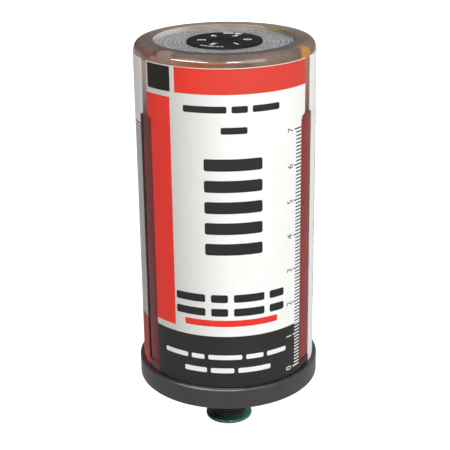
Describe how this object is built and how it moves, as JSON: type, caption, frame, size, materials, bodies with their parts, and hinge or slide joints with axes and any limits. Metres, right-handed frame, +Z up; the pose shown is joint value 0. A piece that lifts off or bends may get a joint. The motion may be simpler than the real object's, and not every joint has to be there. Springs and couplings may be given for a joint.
{
  "type": "automatic lubricator",
  "caption": "Clear cylindrical automatic grease lubricator with a driven piston, a recessed selector dial and a threaded outlet closed by a transit plug.",
  "frame": {"origin": "centre of the outlet's shoulder, where the hexagon under the base cap meets the threaded nipple", "axes": "+Z up the canister's axis towards the dial, -Y towards the front panel of the label, +X to the right seen from the front"},
  "size_m": [0.0524, 0.0524, 0.1157],
  "materials": {
    "clear_plastic": "clear moulded plastic, faintly amber",
    "label_film": "printed film, white ground with red and black fields",
    "black_plastic": "moulded black plastic, soft sheen",
    "seal_rubber": "smooth black rubber",
    "green_plastic": "dark green moulded plastic",
    "piston_plastic": "moulded grey brown plastic",
    "red_grease": "dark red grease, wet gloss",
    "bellows_film": "thin laminated film",
    "housing_plastic": "moulded brownish grey plastic",
    "cell_steel": "nickel-plated can",
    "contact_brass": "bare spring strip",
    "board_laminate": "green laminate",
    "screw_steel": "zinc-plated",
    "silver_plate": "silver printed disc"
  },
  "bodies": {
    "shell": {"canister": "clear_plastic", "label_front": "label_film", "label_left": "label_film", "label_right": "label_film", "base_cap": "black_plastic", "base_seal": "seal_rubber", "grease_charge": "red_grease", "gas_bellows": "bellows_film", "bellows_clamp_ring": "piston_plastic", "drive_floor": "housing_plastic", "drive_housing": "housing_plastic", "drive_seal": "seal_rubber", "gas_cell": "cell_steel", "gas_cell_seal": "seal_rubber", "battery_left": "cell_steel", "battery_right": "cell_steel", "contact_bridge": "contact_brass", "contact_springs": "contact_brass", "circuit_board": "board_laminate", "control_chip": "black_plastic", "rotary_switch": "black_plastic", "board_screws": "screw_steel", "top_plate": "silver_plate", "dial_bezel": "black_plastic"},
    "piston": {"piston": "piston_plastic", "piston_seal_lower": "seal_rubber", "piston_seal_upper": "seal_rubber"},
    "selector": {"selector_knob": "black_plastic"},
    "plug": {"outlet_plug": "green_plastic"}
  },
  "joints": [
    {"name": "piston_slide", "type": "slide", "parent": "shell", "child": "piston", "axis": [0, 0, -1], "range_m": [0, 0.07], "deforming": ["gas_bellows", "grease_charge"]},
    {"name": "selector_turn", "type": "hinge", "parent": "shell", "child": "selector", "pos_m": [0, 0, 0.1014], "axis": [0, 0, -1], "range_deg": [0, 300]},
    {"name": "plug_pull", "type": "slide", "parent": "shell", "child": "plug", "axis": [0, 0, -1], "range_m": [0, 0.03]}
  ]
}
